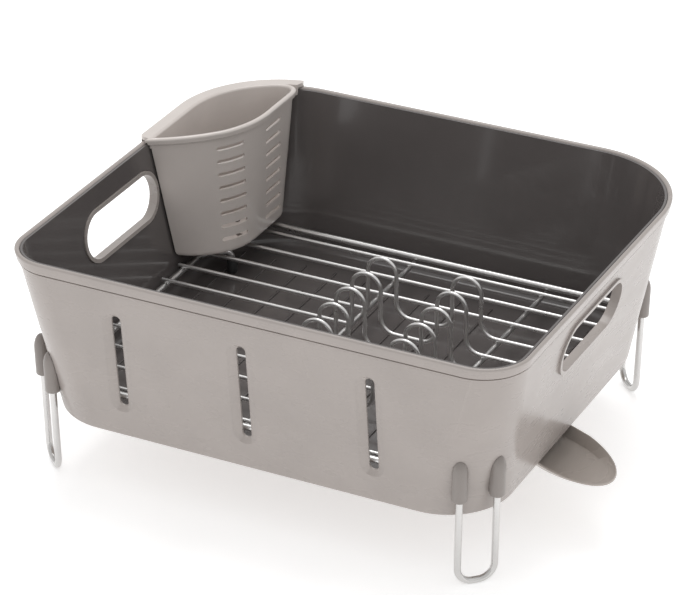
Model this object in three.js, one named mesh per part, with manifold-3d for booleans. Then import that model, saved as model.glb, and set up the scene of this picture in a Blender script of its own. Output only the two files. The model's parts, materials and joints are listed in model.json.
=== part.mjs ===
// Dish drying rack: a moulded tub on four wire feet, with a dark drip tray inside it, a welded wire
// rack that holds plates on edge, a utensil holder hooked over the back left corner of the rim, and
// a swivel spout under the right side. Millimetres, +Z up, standing on z = 0.

import * as THREE from 'three';
import { mergeVertices } from 'three/addons/utils/BufferGeometryUtils.js';
import Module from 'manifold-3d';

// ---------------------------------------------------------------- driving dimensions

const GAP = 0.3; // clearance between pieces that touch

// tub, measured on the outside of the rim and on the underside
const RIM_X = 195; // half width at the rim
const RIM_Y = 173.5; // half depth at the rim
const RIM_Z = 181;
const UNDERSIDE_Z = 51.5;
const DRAFT_LEFT = 17; // how far each wall leans in from rim to underside
const DRAFT_RIGHT = 24;
const DRAFT_FRONT = 14;
const DRAFT_BACK = 20;
const RADIUS_FRONT = [34, 50]; // plan radius of the front corners, at the rim and at the underside
const RADIUS_BACK = [80, 66];
const CORNER_STEPS = 9;

// outer shell
const BEAD_HEIGHT = 8; // rolled rim
const BEAD_PROUD = 1.5; // how far the rolled rim stands out from the wall
const SHELL_WALL = 2.2;
const SHELL_FLOOR = 2.4;

// drip tray
const TRAY_WALL = 1.8;
const TRAY_FLOOR = 2.2;
const RIB_PITCH = 26;
const RIBS_EACH_SIDE = 6;
const RIB_LENGTH = 237;
const RIB_WIDTH = 1.6;
const RIB_HEIGHT = 1.2;

// three slots in the front wall, with a sunk surround
const SLOT_X = [-105, -8, 89];
const SLOT_Z = [75.5, 150.5];
const SLOT_WIDTH = 7;
const SURROUND_WIDTH = 19.4;
const SURROUND_DEPTH = 3.2; // the surround slopes in to the slot's edge
const SURROUND_EXTRA = 3.5; // how far the surround runs past each end of the slot

// hand holes in the side walls
const HAND_Y = -19;
const HAND_Z = 143;
const HAND_LENGTH = 101;
const HAND_HEIGHT = 35;
const HAND_LIP = 3; // width of the sleeve round each hole, which passes through the tray wall
const HAND_LIP_PROUD = 1.6;

// wire rack
const WIRE = 3.1; // thin wire diameter
const FRAME_WIRE = 4.6; // thick wire diameter
const WIRE_Z = 78.6; // middle of the thin wires
const WIRE_PITCH = 26.1;
const WIRE_BACK_Y = 119.3; // rearmost thin wire
const WIRE_COUNT = 11;
const PLAIN_WIRES_BEHIND = 3; // wires without fins at the back, and one at the front
const WIRE_END_CLEAR = 3.5; // from a wire's end to the tray wall
const END_WIRE_X = [-168.5, 162.5];
const CROSS_WIRE_X = [-17.5, 90.5];
const EDGE_WIRE_Y = [-150.5, 130.5];
const FIN_X = [-1.8, 66]; // middle of the left and the right fins
const FIN_WIDTH = 23; // between the legs of one fin
const FIN_TOP_Z = 123.1;
const FIN_FLARE = 12; // bend radius where a leg runs out into the wire
const FIN_TIGHT = 4.5; // bend radius at the outer left foot

// feet
const FOOT_WIRE = 5;
const FOOT_SPAN = 27; // between the two legs of one foot
const FOOT_TOP_Z = 77;
const FOOT_BEND = 11.5;
const FOOT_WORN = 0.15; // depth of the flat that each foot stands on
const FOOT_LEAN = 1.6; // degrees, outwards going up
const SOCKET_Z = 68.8; // lower end of the sockets
const SOCKET_TOP_Z = 101;
const SOCKET_RADIUS = 5.5;
const FEET = {
  front_left: [-175.5, -140],
  front_right: [160.6, -146.6],
  back_left: [-164, 141],
  back_right: [152.5, 147],
};

// utensil holder
const HOLDER_TOP_Z = 184.4;
const HOLDER_BOTTOM_Z = 84;
const HOLDER_WALL = 2;
const HOLDER_CLEAR = [7.5, 7]; // from the tub's outline to the holder's left and back walls
const HOLDER_RIGHT_X = [-133.5, -132]; // right wall, at the bottom and at the top
const HOLDER_FRONT = [
  [[-150, 56], [-133.5, 88]], // the front arc's middle and end, at the bottom
  [[-151, 61], [-132, 88]], // and at the top
];
const HOLDER_FRONT_Y = [43, 31]; // where the front arc leaves the left wall
const HOLDER_CORNER = 16;
const HOLDER_SOFT = [9, 24]; // reach of the rounding between the front arc and the right wall
const HOOK_THICK = 2.4; // flange that hooks over the tub's rim
const HOOK_DROP = 5;
const HOOK_CLEAR = 0.6;
const HOOK_ROUND = 8; // plan radius of the hook's two ends
const VENT_ROWS = 8;
const VENT_PITCH = 10.6;
const VENT_TOP_Z = 170;
const VENT_HEIGHT = 3.3;
const VENT_LENGTH = 24;
const VENT_Y = [72, 121]; // columns on the front arc and on the right wall

// drain and spout
const PIVOT = [136, -9];
const SPOUT_TURN = -32; // degrees from +X
const SPOUT_REACH = 100; // pivot to tip
const SPOUT_HUB = 21; // radius round the pivot
const SPOUT_HALF_WIDTH = 26.5;
const SPOUT_WIDEST = 42; // distance from the pivot to the widest place
const SPOUT_RIM_Z = 49.5;
const SPOUT_DEPTH = [10, 3]; // at the hub and at the tip
const SPOUT_WALL = 1.7;
const SPOUT_SLOPE = 5; // how far the trough's sides lean in
const COLLAR_RADIUS = 12.7;
const DRAIN_BORE = 9.6;

// ---------------------------------------------------------------- solids

const wasm = await Module();
wasm.setup();

function toSolid(geometry) {
  const bare = geometry.clone();
  bare.deleteAttribute('normal');
  bare.deleteAttribute('uv');
  const merged = mergeVertices(bare, 1e-4);
  const vertProperties = new Float32Array(merged.attributes.position.array);
  const corners = Array.from(merged.index.array);
  const triangles = [];
  for (let i = 0; i < corners.length; i += 3) {
    const [a, b, c] = corners.slice(i, i + 3);
    if (a !== b && b !== c && c !== a) triangles.push(a, b, c);
  }
  const triVerts = new Uint32Array(triangles);
  return new wasm.Manifold(new wasm.Mesh({ numProp: 3, vertProperties, triVerts }));
}

function toGeometry(solid) {
  const mesh = solid.getMesh();
  const geometry = new THREE.BufferGeometry();
  geometry.setAttribute('position', new THREE.BufferAttribute(new Float32Array(mesh.vertProperties), 3));
  geometry.setIndex(new THREE.BufferAttribute(new Uint32Array(mesh.triVerts), 1));
  geometry.computeVertexNormals();
  return geometry;
}

// a closed skin through rings of equal length, each a list of points counter-clockwise from above
function loft(rings) {
  const size = rings[0].length;
  const positions = rings.flat().flatMap((p) => [p.x, p.y, p.z]);
  const index = [];
  for (let r = 0; r + 1 < rings.length; r += 1) {
    for (let i = 0; i < size; i += 1) {
      const a = r * size + i;
      const b = r * size + ((i + 1) % size);
      index.push(a, b, b + size, a, b + size, a + size);
    }
  }
  const last = (rings.length - 1) * size;
  const flat = (ring) => ring.map((p) => new THREE.Vector2(p.x, p.y));
  for (const [a, b, c] of THREE.ShapeUtils.triangulateShape(flat(rings[0]), [])) {
    index.push(a, c, b);
  }
  for (const [a, b, c] of THREE.ShapeUtils.triangulateShape(flat(rings.at(-1)), [])) {
    index.push(last + a, last + b, last + c);
  }
  const geometry = new THREE.BufferGeometry();
  geometry.setAttribute('position', new THREE.Float32BufferAttribute(positions, 3));
  geometry.setIndex(index);
  return geometry;
}

// a round wire along a curve
function wire(curve, diameter, steps, sides = 8) {
  const section = new THREE.Shape();
  for (let i = 0; i < sides; i += 1) {
    const angle = ((i + 0.5) / sides) * 2 * Math.PI;
    const x = (diameter / 2) * Math.cos(angle);
    const y = (diameter / 2) * Math.sin(angle);
    if (i === 0) section.moveTo(x, y);
    else section.lineTo(x, y);
  }
  section.closePath();
  return new THREE.ExtrudeGeometry(section, { steps, extrudePath: curve, curveSegments: 1 });
}

// a path of straight runs with a round bend at each inner corner
class BentPath extends THREE.Curve {
  constructor(corners, radii, bendSteps = 4) {
    super();
    this.nodes = [corners[0]];
    for (let i = 1; i + 1 < corners.length; i += 1) {
      this.nodes.push(...roundCorner(corners[i - 1], corners[i], corners[i + 1], radii[i - 1], bendSteps));
    }
    this.nodes.push(corners.at(-1));
  }

  getPoint(t, target = new THREE.Vector3()) {
    const place = t * (this.nodes.length - 1);
    const i = Math.min(Math.floor(place), this.nodes.length - 2);
    return target.lerpVectors(this.nodes[i], this.nodes[i + 1], place - i);
  }

  getPointAt(t, target) {
    return this.getPoint(t, target);
  }

  getTangentAt(t, target = new THREE.Vector3()) {
    const i = Math.round(t * (this.nodes.length - 1));
    const before = this.nodes[Math.max(i - 1, 0)];
    const after = this.nodes[Math.min(i + 1, this.nodes.length - 1)];
    return target.subVectors(after, before).normalize();
  }

  get steps() {
    return this.nodes.length - 1;
  }
}

function roundCorner(before, corner, after, radius, steps) {
  const inward = new THREE.Vector3().subVectors(before, corner).normalize();
  const outward = new THREE.Vector3().subVectors(after, corner).normalize();
  const half = inward.angleTo(outward) / 2;
  const reach = radius / Math.tan(half);
  const middle = new THREE.Vector3().addVectors(inward, outward).normalize();
  const centre = corner.clone().addScaledVector(middle, radius / Math.sin(half));
  const start = corner.clone().addScaledVector(inward, reach).sub(centre);
  const end = corner.clone().addScaledVector(outward, reach).sub(centre);
  const turn = start.angleTo(end);
  const axis = new THREE.Vector3().crossVectors(start, end).normalize();
  const points = [];
  for (let i = 0; i <= steps; i += 1) {
    points.push(start.clone().applyAxisAngle(axis, (turn * i) / steps).add(centre));
  }
  return points;
}

const rack = new THREE.Group();
rack.name = 'dish_drying_rack';

function addMesh(name, geometry, finish, group = rack) {
  const mesh = new THREE.Mesh(geometry, new THREE.MeshStandardMaterial(finish));
  mesh.name = name;
  group.add(mesh);
  return mesh;
}

const FINISH = {
  shell: { color: 0xb7aea8, roughness: 0.25, metalness: 0 },
  tray: { color: 0x4b4744, roughness: 0.3, metalness: 0 },
  holder: { color: 0xb9b2ac, roughness: 0.35, metalness: 0 },
  socket: { color: 0x8f8883, roughness: 0.4, metalness: 0 },
  steel: { color: 0xd8d8d8, roughness: 0.15, metalness: 1 },
  spout: { color: 0x8b8480, roughness: 0.3, metalness: 0 },
  dark: { color: 0x33312f, roughness: 0.6, metalness: 0 },
};

// ---------------------------------------------------------------- tub outlines

const mix = (range, t) => range[0] + (range[1] - range[0]) * t;

// plan outline of the tub's outer face at height z, moved in by `inward`
function tubOutline(z, inward = 0) {
  const t = (RIM_Z - z) / (RIM_Z - UNDERSIDE_Z);
  const left = -RIM_X + DRAFT_LEFT * t + inward;
  const right = RIM_X - DRAFT_RIGHT * t - inward;
  const front = -RIM_Y + DRAFT_FRONT * t + inward;
  const back = RIM_Y - DRAFT_BACK * t - inward;
  const frontRadius = mix(RADIUS_FRONT, t) - inward;
  const backRadius = mix(RADIUS_BACK, t) - inward;
  const corners = [
    [right - backRadius, back - backRadius, backRadius, 0],
    [left + backRadius, back - backRadius, backRadius, 1],
    [left + frontRadius, front + frontRadius, frontRadius, 2],
    [right - frontRadius, front + frontRadius, frontRadius, 3],
  ];
  const ring = [];
  for (const [x, y, radius, quarter] of corners) {
    for (let i = 0; i <= CORNER_STEPS; i += 1) {
      const angle = (quarter + i / CORNER_STEPS) * (Math.PI / 2);
      ring.push(new THREE.Vector3(x + radius * Math.cos(angle), y + radius * Math.sin(angle), z));
    }
  }
  return ring;
}

// the tub's wall planes: where a wall's outer face is at height z, less `inward`
const wallLeft = (z, inward) => -RIM_X + (DRAFT_LEFT * (RIM_Z - z)) / (RIM_Z - UNDERSIDE_Z) + inward;
const wallRight = (z, inward) => RIM_X - (DRAFT_RIGHT * (RIM_Z - z)) / (RIM_Z - UNDERSIDE_Z) - inward;
const wallFront = (z, inward) => -RIM_Y + (DRAFT_FRONT * (RIM_Z - z)) / (RIM_Z - UNDERSIDE_Z) + inward;

// an upright stadium or a lying one, as a prism along `axis`
function stadiumPrism(length, width, depth) {
  const shape = new THREE.Shape();
  const radius = width / 2;
  const straight = length / 2 - radius;
  shape.absarc(straight, 0, radius, -Math.PI / 2, Math.PI / 2, false);
  shape.absarc(-straight, 0, radius, Math.PI / 2, (3 * Math.PI) / 2, false);
  shape.closePath();
  const prism = new THREE.ExtrudeGeometry(shape, { depth, bevelEnabled: false, curveSegments: 8, steps: 1 });
  return prism.translate(0, 0, -depth / 2);
}

function stadiumRing(length, width, z, steps = 8) {
  const radius = width / 2;
  const ring = [];
  for (const side of [1, -1]) {
    for (let i = 0; i <= steps; i += 1) {
      const angle = ((i / steps) * 2 - side) * (Math.PI / 2);
      const x = side * (length / 2 - radius) + radius * Math.cos(angle);
      ring.push(new THREE.Vector3(x, radius * Math.sin(angle), z));
    }
  }
  return ring;
}

// turns a shape made flat, with +Z outwards, on to the front wall at a slot
function onFrontWall(geometry, x) {
  const middle = (SLOT_Z[0] + SLOT_Z[1]) / 2;
  const lean = Math.atan2(DRAFT_FRONT, RIM_Z - UNDERSIDE_Z);
  geometry.rotateZ(Math.PI / 2).rotateX(Math.PI / 2 + lean);
  return toSolid(geometry.translate(x, wallFront(middle, BEAD_PROUD), middle));
}

function slotCut(x, width, extra, depth) {
  return onFrontWall(stadiumPrism(SLOT_Z[1] - SLOT_Z[0] + 2 * extra, width, depth), x);
}

// the sloped surround, from a little outside the wall down to the slot's own edge
function funnelCut(x) {
  const length = SLOT_Z[1] - SLOT_Z[0];
  const inner = stadiumRing(length, SLOT_WIDTH, -SURROUND_DEPTH);
  const outer = stadiumRing(length + 2 * SURROUND_EXTRA, SURROUND_WIDTH, 0);
  const beyond = outer.map((p, i) => p.clone().lerp(inner[i], -0.1));
  return onFrontWall(loft([inner, beyond]), x);
}

function handPrism(side, grow, depth) {
  const prism = stadiumPrism(HAND_LENGTH + 2 * grow, HAND_HEIGHT + 2 * grow, depth);
  prism.rotateX(Math.PI / 2).rotateZ(Math.PI / 2);
  const draft = side < 0 ? DRAFT_LEFT : DRAFT_RIGHT;
  prism.rotateY(side * Math.atan2(draft, RIM_Z - UNDERSIDE_Z));
  const inward = mix(SLEEVE, 0.5);
  const face = side < 0 ? wallLeft(HAND_Z, inward) : wallRight(HAND_Z, inward);
  return toSolid(prism.translate(face, HAND_Y, HAND_Z));
}

function discAt(x, y, z, radius, height, sides = 32) {
  const disc = new THREE.CylinderGeometry(radius, radius, height, sides);
  return disc.rotateX(Math.PI / 2).translate(x, y, z);
}

const drainCut = () => toSolid(discAt(PIVOT[0], PIVOT[1], UNDERSIDE_Z, COLLAR_RADIUS + GAP, 40));

// where the tub's outline less `inward` crosses y, on the left (-1) or the right (1), at height z
function wallAt(side, y, z, inward) {
  const t = (RIM_Z - z) / (RIM_Z - UNDERSIDE_Z);
  const face = side < 0 ? wallLeft(z, inward) : wallRight(z, inward);
  const atBack = y > 0;
  const radius = mix(atBack ? RADIUS_BACK : RADIUS_FRONT, t) - inward;
  const limit = RIM_Y - (atBack ? DRAFT_BACK : DRAFT_FRONT) * t - inward;
  const into = Math.max(0, Math.abs(y) - (limit - radius));
  return face - side * (radius - Math.sqrt(radius * radius - into * into));
}

// ---------------------------------------------------------------- outer shell

const TRAY_OUTER = BEAD_PROUD + SHELL_WALL + GAP;
const TRAY_INNER = TRAY_OUTER + TRAY_WALL;
const BOSS_DEPTH = TRAY_INNER - BEAD_PROUD + 0.3; // the slot surrounds pass through the tray wall
const SLEEVE = [BEAD_PROUD - HAND_LIP_PROUD, TRAY_INNER + 1]; // a hand hole's sleeve, out and in

function buildShell() {
  const beadFoot = RIM_Z - BEAD_HEIGHT;
  const inner = BEAD_PROUD + SHELL_WALL;
  const floorTop = UNDERSIDE_Z + SHELL_FLOOR;
  const rings = [
    tubOutline(UNDERSIDE_Z, BEAD_PROUD + 2),
    tubOutline(UNDERSIDE_Z + 0.6, BEAD_PROUD + 0.6),
    tubOutline(UNDERSIDE_Z + 2, BEAD_PROUD),
    tubOutline(beadFoot - 3, BEAD_PROUD),
    tubOutline(beadFoot - 2.4, BEAD_PROUD - 0.6),
    tubOutline(beadFoot - 1.2, BEAD_PROUD - 0.6),
    tubOutline(beadFoot - 1, BEAD_PROUD + 0.5),
    tubOutline(beadFoot - 0.2, BEAD_PROUD + 0.5),
    tubOutline(beadFoot, 0.4),
    tubOutline(beadFoot + 1, 0),
    tubOutline(RIM_Z - 1.8, 0),
    tubOutline(RIM_Z - 0.5, 0.5),
    tubOutline(RIM_Z, 1.5),
    tubOutline(RIM_Z, inner - 1.5),
    tubOutline(RIM_Z - 0.5, inner - 0.5),
    tubOutline(RIM_Z - 1.8, inner),
    tubOutline(floorTop + 2, inner),
    tubOutline(floorTop, inner + 2),
  ];
  let solid = toSolid(loft(rings));
  const skin = tubInside(BEAD_PROUD + 0.2);
  for (const x of SLOT_X) {
    solid = solid.add(slotCut(x, SURROUND_WIDTH + 2, SURROUND_EXTRA + 1, 2 * BOSS_DEPTH).intersect(skin));
    solid = solid.subtract(funnelCut(x));
    solid = solid.subtract(slotCut(x, SLOT_WIDTH, 0, 24));
  }
  for (const side of [-1, 1]) {
    solid = solid.add(handPrism(side, HAND_LIP, SLEEVE[1] - SLEEVE[0]));
    solid = solid.subtract(handPrism(side, 0, 60));
  }
  return solid.subtract(drainCut());
}

// everything inside the tub's outer face less `inward`
function tubInside(inward) {
  return toSolid(loft([tubOutline(UNDERSIDE_Z - 30, inward), tubOutline(RIM_Z + 30, inward)]));
}

// ---------------------------------------------------------------- drip tray

const TRAY_TOP_Z = RIM_Z - 1.2;
const TRAY_UNDER_Z = UNDERSIDE_Z + SHELL_FLOOR + GAP;
const TRAY_FLOOR_Z = TRAY_UNDER_Z + TRAY_FLOOR;

function buildTray() {
  const inner = TRAY_INNER;
  const fillet = 6;
  const rings = [
    tubOutline(TRAY_UNDER_Z, TRAY_OUTER + 2.7),
    tubOutline(TRAY_UNDER_Z + 2.7, TRAY_OUTER),
    tubOutline(TRAY_TOP_Z, TRAY_OUTER),
    tubOutline(TRAY_TOP_Z, inner),
    tubOutline(TRAY_FLOOR_Z + fillet, inner),
    tubOutline(TRAY_FLOOR_Z + fillet * 0.3, inner + fillet * 0.3),
    tubOutline(TRAY_FLOOR_Z, inner + fillet),
  ];
  let solid = toSolid(loft(rings));
  const roundDrain = toSolid(discAt(PIVOT[0], PIVOT[1], TRAY_FLOOR_Z + 6, COLLAR_RADIUS + 8, 12));
  for (let i = -RIBS_EACH_SIDE; i <= RIBS_EACH_SIDE; i += 1) {
    const rib = new THREE.BoxGeometry(RIB_WIDTH, RIB_LENGTH, RIB_HEIGHT + 1);
    rib.translate(i * RIB_PITCH, 0, TRAY_FLOOR_Z + (RIB_HEIGHT - 1) / 2);
    solid = solid.add(toSolid(rib).subtract(roundDrain));
  }
  for (const x of SLOT_X) {
    solid = solid.subtract(slotCut(x, SURROUND_WIDTH + 2 + 2 * GAP, SURROUND_EXTRA + 1 + GAP, 40));
  }
  for (const side of [-1, 1]) {
    solid = solid.subtract(handPrism(side, HAND_LIP + GAP, 60));
  }
  return solid.subtract(drainCut());
}

const shell = buildShell();
const tray = buildTray();
addMesh('outer_shell', toGeometry(shell), FINISH.shell);
addMesh('drip_tray', toGeometry(tray), FINISH.tray);

// ---------------------------------------------------------------- wire rack

const at = (x, y, z) => new THREE.Vector3(x, y, z);
const wireEnd = (side, y, z = WIRE_Z) => wallAt(side, y, z, TRAY_INNER + WIRE_END_CLEAR);
const wireY = (i) => WIRE_BACK_Y - i * WIRE_PITCH;
const FRAME_Z = WIRE_Z - WIRE / 2 - FRAME_WIRE / 2 - GAP; // middle of the thick wires underneath

// one thin wire with a left and a right fin
function finnedPath(y) {
  const corners = [at(wireEnd(-1, y), y, WIRE_Z)];
  const radii = [];
  FIN_X.forEach((x, fin) => {
    const left = x - FIN_WIDTH / 2;
    const right = x + FIN_WIDTH / 2;
    corners.push(at(left, y, WIRE_Z), at(left, y, FIN_TOP_Z), at(right, y, FIN_TOP_Z), at(right, y, WIRE_Z));
    radii.push(fin === 0 ? FIN_TIGHT : FIN_FLARE, FIN_WIDTH / 2 - 0.05, FIN_WIDTH / 2 - 0.05, FIN_FLARE);
  });
  corners.push(at(wireEnd(1, y), y, WIRE_Z));
  return new BentPath(corners, radii, 4);
}

function buildWires() {
  for (let i = 0; i < WIRE_COUNT; i += 1) {
    const y = wireY(i);
    const plain = i < PLAIN_WIRES_BEHIND || i === WIRE_COUNT - 1;
    const path = plain
      ? new THREE.LineCurve3(at(wireEnd(-1, y), y, WIRE_Z), at(wireEnd(1, y), y, WIRE_Z))
      : finnedPath(y);
    const name = `${plain ? 'plain' : 'finned'}_wire_${String(i + 1).padStart(2, '0')}`;
    addMesh(name, wire(path, WIRE, plain ? 1 : path.steps, plain ? 8 : 6), FINISH.steel);
  }
  const edgeZ = WIRE_Z + (FRAME_WIRE - WIRE) / 2;
  ['front', 'back'].forEach((side, i) => {
    const y = EDGE_WIRE_Y[i];
    const path = new THREE.LineCurve3(at(wireEnd(-1, y), y, edgeZ), at(wireEnd(1, y), y, edgeZ));
    addMesh(`edge_wire_${side}`, wire(path, FRAME_WIRE, 1), FINISH.steel);
  });
  ['left', 'right'].forEach((side, i) => {
    const x = CROSS_WIRE_X[i];
    const path = new THREE.LineCurve3(at(x, EDGE_WIRE_Y[0], FRAME_Z), at(x, EDGE_WIRE_Y[1], FRAME_Z));
    addMesh(`cross_wire_${side}`, wire(path, FRAME_WIRE - 0.6, 1), FINISH.steel);
  });
}

const LEG_Z = TRAY_FLOOR_Z + 2; // where the end wires' legs stop inside their rubber caps
const LEG_Y = [-124, 86];
const LEG_INSET = 18; // the end wires turn in at the tub's corners before they bend down

// the end wires run under the rack's ends and bend down into legs
function buildEndWires() {
  const caps = new THREE.Group();
  ['left', 'right'].forEach((side, i) => {
    const x = END_WIRE_X[i];
    const legX = x - Math.sign(x) * LEG_INSET;
    const [front, back] = LEG_Y;
    const corners = [
      at(legX, front, LEG_Z),
      at(legX, front, FRAME_Z),
      at(x, front + 16, FRAME_Z),
      at(x, back - 16, FRAME_Z),
      at(legX, back, FRAME_Z),
      at(legX, back, LEG_Z),
    ];
    const path = new BentPath(corners, [6, 12, 12, 6], 4);
    addMesh(`end_wire_${side}`, wire(path, FRAME_WIRE, path.steps), FINISH.steel);
    for (const [where, y] of [['front', front], ['back', back]]) {
      addMesh(`leg_cap_${where}_${side}`, capGeometry(legX, y), FINISH.dark, caps);
    }
  });
  return caps;
}

// a rubber cap: a round cup that the leg's end stands in
function capGeometry(x, y) {
  const bore = FRAME_WIRE / 2 + GAP;
  const outer = bore + 1.5;
  const low = TRAY_FLOOR_Z + GAP;
  const high = TRAY_FLOOR_Z + 11;
  const seat = LEG_Z - GAP;
  const profile = [
    [0, low],
    [outer - 0.6, low],
    [outer, low + 0.6],
    [outer, high - 0.6],
    [outer - 0.6, high],
    [bore, high],
    [bore, seat],
    [0, seat],
  ].map(([r, z]) => new THREE.Vector2(r, z));
  return new THREE.LatheGeometry(profile, 14).rotateX(Math.PI / 2).translate(x, y, 0);
}

buildWires();
rack.add(buildEndWires());

// ---------------------------------------------------------------- feet and sockets

const shellOutside = tubInside(BEAD_PROUD - GAP);

function footFrame(name) {
  const [x, y] = FEET[name];
  const outward = new THREE.Vector3(Math.sign(x), Math.sign(y), 0).normalize();
  const across = new THREE.Vector3(-outward.y, outward.x, 0);
  const lean = Math.tan(THREE.MathUtils.degToRad(FOOT_LEAN));
  return (side, z) =>
    at(x, y, z).addScaledVector(across, (side * FOOT_SPAN) / 2).addScaledVector(outward, lean * z);
}

function buildFoot(name) {
  const place = footFrame(name);
  const low = (FOOT_WIRE / 2) * Math.cos(Math.PI / 8) - FOOT_WORN;
  const corners = [place(-1, FOOT_TOP_Z), place(-1, low), place(1, low), place(1, FOOT_TOP_Z)];
  const path = new BentPath(corners, [FOOT_BEND, FOOT_BEND], 5);
  const ground = new THREE.BoxGeometry(4 * RIM_X, 4 * RIM_X, 10).translate(0, 0, -5);
  const solid = toSolid(wire(path, FOOT_WIRE, path.steps)).subtract(toSolid(ground));
  addMesh(`foot_${name}`, toGeometry(solid), FINISH.steel);
}

function buildSocket(name, side) {
  const place = footFrame(name);
  const base = place(side, SOCKET_Z);
  const top = place(side, SOCKET_TOP_Z);
  const length = SOCKET_TOP_Z - SOCKET_Z;
  const bore = FOOT_WIRE / 2 + GAP;
  const boreDepth = FOOT_TOP_Z - SOCKET_Z + 1;
  const profile = [
    [0, boreDepth],
    [bore, boreDepth],
    [bore, 0],
    [SOCKET_RADIUS - 0.8, 0],
    [SOCKET_RADIUS, 1],
    [SOCKET_RADIUS, length - 8],
    [SOCKET_RADIUS * 0.75, length - 3],
    [SOCKET_RADIUS * 0.3, length],
    [0, length],
  ].map(([r, z]) => new THREE.Vector2(r, z));
  const lathe = new THREE.LatheGeometry(profile, 12);
  const up = new THREE.Vector3().subVectors(top, base).normalize();
  lathe.applyQuaternion(new THREE.Quaternion().setFromUnitVectors(new THREE.Vector3(0, 1, 0), up));
  const solid = toSolid(lathe.translate(base.x, base.y, base.z));
  return solid;
}

for (const name of Object.keys(FEET)) {
  buildFoot(name);
  for (const [side, label] of [[-1, 'a'], [1, 'b']]) {
    const solid = buildSocket(name, side).subtract(shellOutside);
    addMesh(`foot_socket_${name}_${label}`, toGeometry(solid), FINISH.socket);
  }
}

// ---------------------------------------------------------------- utensil holder

function arcThrough(a, b, c, steps) {
  const d = 2 * (a.x * (b.y - c.y) + b.x * (c.y - a.y) + c.x * (a.y - b.y));
  const square = (p) => p.x * p.x + p.y * p.y;
  const x = (square(a) * (b.y - c.y) + square(b) * (c.y - a.y) + square(c) * (a.y - b.y)) / d;
  const y = (square(a) * (c.x - b.x) + square(b) * (a.x - c.x) + square(c) * (b.x - a.x)) / d;
  const radius = Math.hypot(a.x - x, a.y - y);
  const from = Math.atan2(a.y - y, a.x - x);
  const to = Math.atan2(c.y - y, c.x - x);
  const points = [];
  for (let i = 0; i <= steps; i += 1) {
    const angle = from + ((to - from) * i) / steps;
    points.push(new THREE.Vector2(x + radius * Math.cos(angle), y + radius * Math.sin(angle)));
  }
  return points;
}

// plan outline of the holder's outer face at height z
function holderOutline(z) {
  const t = (z - HOLDER_BOTTOM_Z) / (HOLDER_TOP_Z - HOLDER_BOTTOM_Z);
  const v = RIM_Z - Math.min(z, RIM_Z);
  const clear = mix(HOLDER_CLEAR, t);
  const left = wallLeft(RIM_Z - v, clear);
  const draft = v / (RIM_Z - UNDERSIDE_Z);
  const back = RIM_Y - DRAFT_BACK * draft - clear;
  const radius = mix(RADIUS_BACK, draft) - clear;
  const right = mix(HOLDER_RIGHT_X, t);
  const spot = (i) => new THREE.Vector2(
    mix([HOLDER_FRONT[0][i][0], HOLDER_FRONT[1][i][0]], t),
    mix([HOLDER_FRONT[0][i][1], HOLDER_FRONT[1][i][1]], t),
  );
  const start = new THREE.Vector2(left, mix(HOLDER_FRONT_Y, t));
  const soft = mix(HOLDER_SOFT, t);
  const ring = arcThrough(start, spot(0), spot(1), 24);
  while (ring.at(-1).distanceTo(spot(1)) < soft) ring.pop();
  const lead = new THREE.SplineCurve(ring).getSpacedPoints(9);
  const after = new THREE.Vector2(right, spot(1).y + soft);
  const merge = new THREE.QuadraticBezierCurve(ring.at(-1), spot(1), after);
  ring.length = 0;
  ring.push(...lead, ...merge.getPoints(5).slice(1));
  const centre = new THREE.Vector2(left + radius, back - radius);
  const cornerX = right - HOLDER_CORNER;
  const backAt = (x) => centre.y + Math.sqrt(radius * radius - (centre.x - x) ** 2);
  const corner = new THREE.QuadraticBezierCurve(
    new THREE.Vector2(right, backAt(right) - HOLDER_CORNER),
    new THREE.Vector2(right, backAt(right)),
    new THREE.Vector2(cornerX, backAt(cornerX)),
  );
  ring.push(...corner.getPoints(4));
  const turnFrom = Math.atan2(backAt(cornerX) - centre.y, cornerX - centre.x);
  for (let i = 1; i <= 8; i += 1) {
    const angle = turnFrom + ((Math.PI - turnFrom) * i) / 8;
    ring.push(new THREE.Vector2(centre.x + radius * Math.cos(angle), centre.y + radius * Math.sin(angle)));
  }
  return ring.map((p) => at(p.x, p.y, z));
}

// moves each point of a ring in by `distance`
function shrink(ring, distance, z = ring[0].z) {
  return ring.map((p, i) => {
    const before = ring[(i + ring.length - 1) % ring.length];
    const after = ring[(i + 1) % ring.length];
    const a = new THREE.Vector2(p.x - before.x, p.y - before.y).normalize();
    const b = new THREE.Vector2(after.x - p.x, after.y - p.y).normalize();
    const along = a.clone().add(b).normalize();
    const reach = distance / Math.max(0.5, Math.abs(along.dot(a)));
    return at(p.x - along.y * reach, p.y + along.x * reach, z);
  });
}

// one slit, across the holder's wall where it passes y
function ventCut(y, z) {
  const ring = holderOutline(z);
  const i = ring.findIndex((p) => p.y > y);
  const along = ring[i].clone().sub(ring[i - 1]);
  const place = ring[i - 1].clone().addScaledVector(along, (y - ring[i - 1].y) / along.y);
  const slit = loft([-5, 5].map((depth) => stadiumRing(VENT_LENGTH, VENT_HEIGHT, depth, 4)));
  slit.rotateX(Math.PI / 2).rotateZ(Math.atan2(along.y, along.x));
  return toSolid(slit.translate(place.x, place.y, z));
}

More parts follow.
